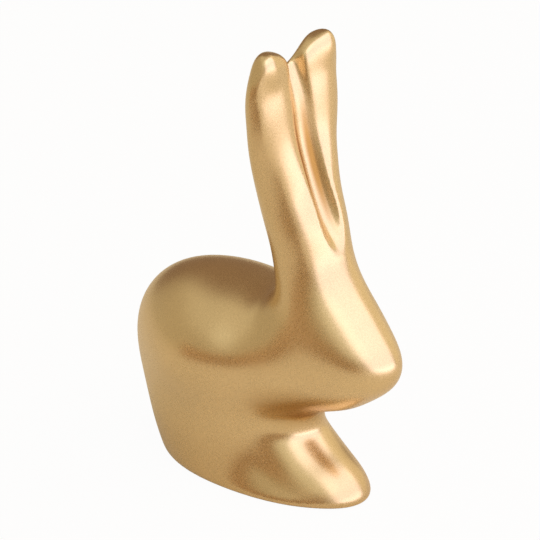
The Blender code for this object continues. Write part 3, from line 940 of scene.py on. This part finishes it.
class RABBIT_OT_stage(bpy.types.Operator):
    """Set the floor, the lamps, the room and the camera"""

    bl_idname = "rabbit.stage"
    bl_label = "Stage"

    def execute(self, context):
        stage = context.scene.rabbit_stage
        context.scene.view_settings.view_transform = "Standard"
        self.floor(stage)
        self.card(stage)
        self.camera(stage)
        self.room(stage)
        for lamp in LAMPS:
            self.lamp(stage, lamp)
        return {"FINISHED"}

    def direction(self, stage, bearing, elevation):
        """From the figure towards a bearing from the camera, to the right, and an elevation."""
        turn = stage.camera_azimuth + math.radians(bearing)
        lift = math.radians(elevation)
        return Vector((math.sin(turn) * math.cos(lift), -math.cos(turn) * math.cos(lift),
                       math.sin(lift)))

    def place(self, thing, toward, distance):
        """Link a lamp or the camera, at a distance from the target and facing it."""
        bpy.context.scene.collection.objects.link(thing)
        thing.location = TARGET + toward * distance
        thing.rotation_euler = toward.to_track_quat("Z", "Y").to_euler()

    def floor(self, stage):
        """A large square of pale paper that seen directly is nearly white, and keeps shadows."""
        corners = FLOOR_HALF * np.array([(-1, -1, 0), (1, -1, 0), (1, 1, 0), (-1, 1, 0)])
        floor = mesh_object("floor", corners, [(0, 1, 2, 3)])
        material = bpy.data.materials.new("floor_paper")
        material.use_nodes = True
        recipe = Recipe(material.node_tree)
        tooth = recipe.noise(1.5 * MM, 2.0, 0.5)
        paper = recipe.node("ShaderNodeBsdfPrincipled", None, {
            "Base Color": opaque(stage.floor_colour), "Specular IOR Level": 0.1,
            "Roughness": tooth * 0.1 + 0.85})
        share = recipe.white_share(stage.floor_white, stage.floor_gloss)
        recipe.whitened_output("ShaderNodeOutputMaterial", paper, "ShaderNodeEmission", share)
        dress(floor, material)

    def card(self, stage):
        """A low curved card on the camera's side, seen only in what the metal mirrors."""
        first, last = CARD_BEARINGS
        bearing = stage.camera_azimuth + np.radians(np.linspace(first, last, CARD_POINTS))
        foot = np.stack([CARD_RADIUS * np.sin(bearing), -CARD_RADIUS * np.cos(bearing),
                         np.full(CARD_POINTS, CARD_BOTTOM)], axis=1)
        points = np.concatenate([foot, foot + (0, 0, CARD_HEIGHT)])
        low = np.arange(CARD_POINTS - 1)
        high = low + CARD_POINTS
        card = mesh_object("card", points, np.stack([low, low + 1, high + 1, high], axis=1))
        card.visible_camera = False

        def build(recipe):
            tooth = recipe.noise(2 * MM, 2.0, 0.5)
            return {"Roughness": tooth * 0.1 + 0.85}

        dress(card, surface_material("card_paper", {
            "Base Color": opaque(stage.card_colour), "Specular IOR Level": 0.1}, build))

    def camera(self, stage):
        """A long lens at the photograph's angle, on which the figure always looks as large."""
        data = bpy.data.cameras.new("camera")
        data.sensor_width = SENSOR_WIDTH
        data.lens = LENS * stage.camera_distance / LENS_DISTANCE
        data.shift_x, data.shift_y = CAMERA_SHIFT
        data.clip_end = FARTHEST_SEEN
        camera = bpy.data.objects.new("camera", data)
        toward = self.direction(stage, 0, math.degrees(stage.camera_elevation))
        self.place(camera, toward, stage.camera_distance)
        bpy.context.scene.camera = camera

    def lamp(self, stage, lamp):
        """A soft rectangular lamp, as bright all over as its share of the key light."""
        data = bpy.data.lights.new(lamp.name, "AREA")
        data.shape = "RECTANGLE"
        data.size = lamp.width
        data.size_y = lamp.height
        data.color = lamp.colour
        data.energy = lamp.share * stage.key_level * lamp.width * lamp.height * math.pi
        light = bpy.data.objects.new(lamp.name, data)
        light.visible_camera = False
        self.place(light, self.direction(stage, lamp.bearing, lamp.elevation), lamp.distance)

    def room(self, stage):
        """A warm room, brighter high up in front, and dim behind the figure."""
        world = bpy.data.worlds.new("room")
        world.use_nodes = True
        bpy.context.scene.world = world
        recipe = Recipe(world.node_tree)
        way = recipe.wire("ShaderNodeTexCoord", output="Generated")
        rise = recipe.eased(recipe.wire("ShaderNodeSeparateXYZ", None, {0: way}, "Z"),
                            CEILING_FROM, CEILING_FULL)
        colour = recipe.mix(rise, opaque(stage.wall_colour), opaque(stage.ceiling_colour))
        for part in ROOM_PARTS:
            facing = recipe.wire("ShaderNodeVectorMath", {"operation": "DOT_PRODUCT"}, {
                0: way, 1: tuple(self.direction(stage, part.bearing, part.elevation))}, "Value")
            share = recipe.eased(facing, math.cos(math.radians(part.gone)),
                                 math.cos(math.radians(part.full)))
            colour = recipe.mix(share, colour, opaque(part.colour))
        warm = recipe.node("ShaderNodeBackground", None, {
            "Color": colour, "Strength": stage.fill_level})
        share = recipe.white_share(1.0, stage.room_gloss)
        recipe.whitened_output("ShaderNodeOutputWorld", warm, "ShaderNodeBackground", share)


class RABBIT_PT_panel(bpy.types.Panel):
    """The rabbit's settings and steps"""

    bl_idname = "RABBIT_PT_panel"
    bl_label = "Rabbit"
    bl_space_type = "VIEW_3D"
    bl_region_type = "UI"
    bl_category = "Rabbit"

    def draw(self, context):
        scene = context.scene
        for group in (scene.rabbit_sizes, scene.rabbit_finish, scene.rabbit_stage):
            box = self.layout.box()
            for key in group.bl_rna.properties.keys():
                if key not in {"rna_type", "name"}:
                    box.prop(group, key)
        for operator in (RABBIT_OT_casting, RABBIT_OT_base, RABBIT_OT_stage):
            self.layout.operator(operator.bl_idname)


CLASSES = (RabbitSizes, RabbitFinish, RabbitStage, RABBIT_OT_casting, RABBIT_OT_base,
           RABBIT_OT_stage, RABBIT_PT_panel)


def register():
    """Add the settings, steps and panel."""
    for cls in CLASSES:
        bpy.utils.register_class(cls)
    bpy.types.Scene.rabbit_sizes = PointerProperty(type=RabbitSizes)
    bpy.types.Scene.rabbit_finish = PointerProperty(type=RabbitFinish)
    bpy.types.Scene.rabbit_stage = PointerProperty(type=RabbitStage)


def unregister():
    """Take the settings, steps and panel away again."""
    del bpy.types.Scene.rabbit_stage
    del bpy.types.Scene.rabbit_finish
    del bpy.types.Scene.rabbit_sizes
    for cls in reversed(CLASSES):
        bpy.utils.unregister_class(cls)


def main():
    """Run the steps in order."""
    register()
    bpy.ops.rabbit.casting()
    bpy.ops.rabbit.base()
    bpy.ops.rabbit.stage()


if __name__ == "__main__":
    main()
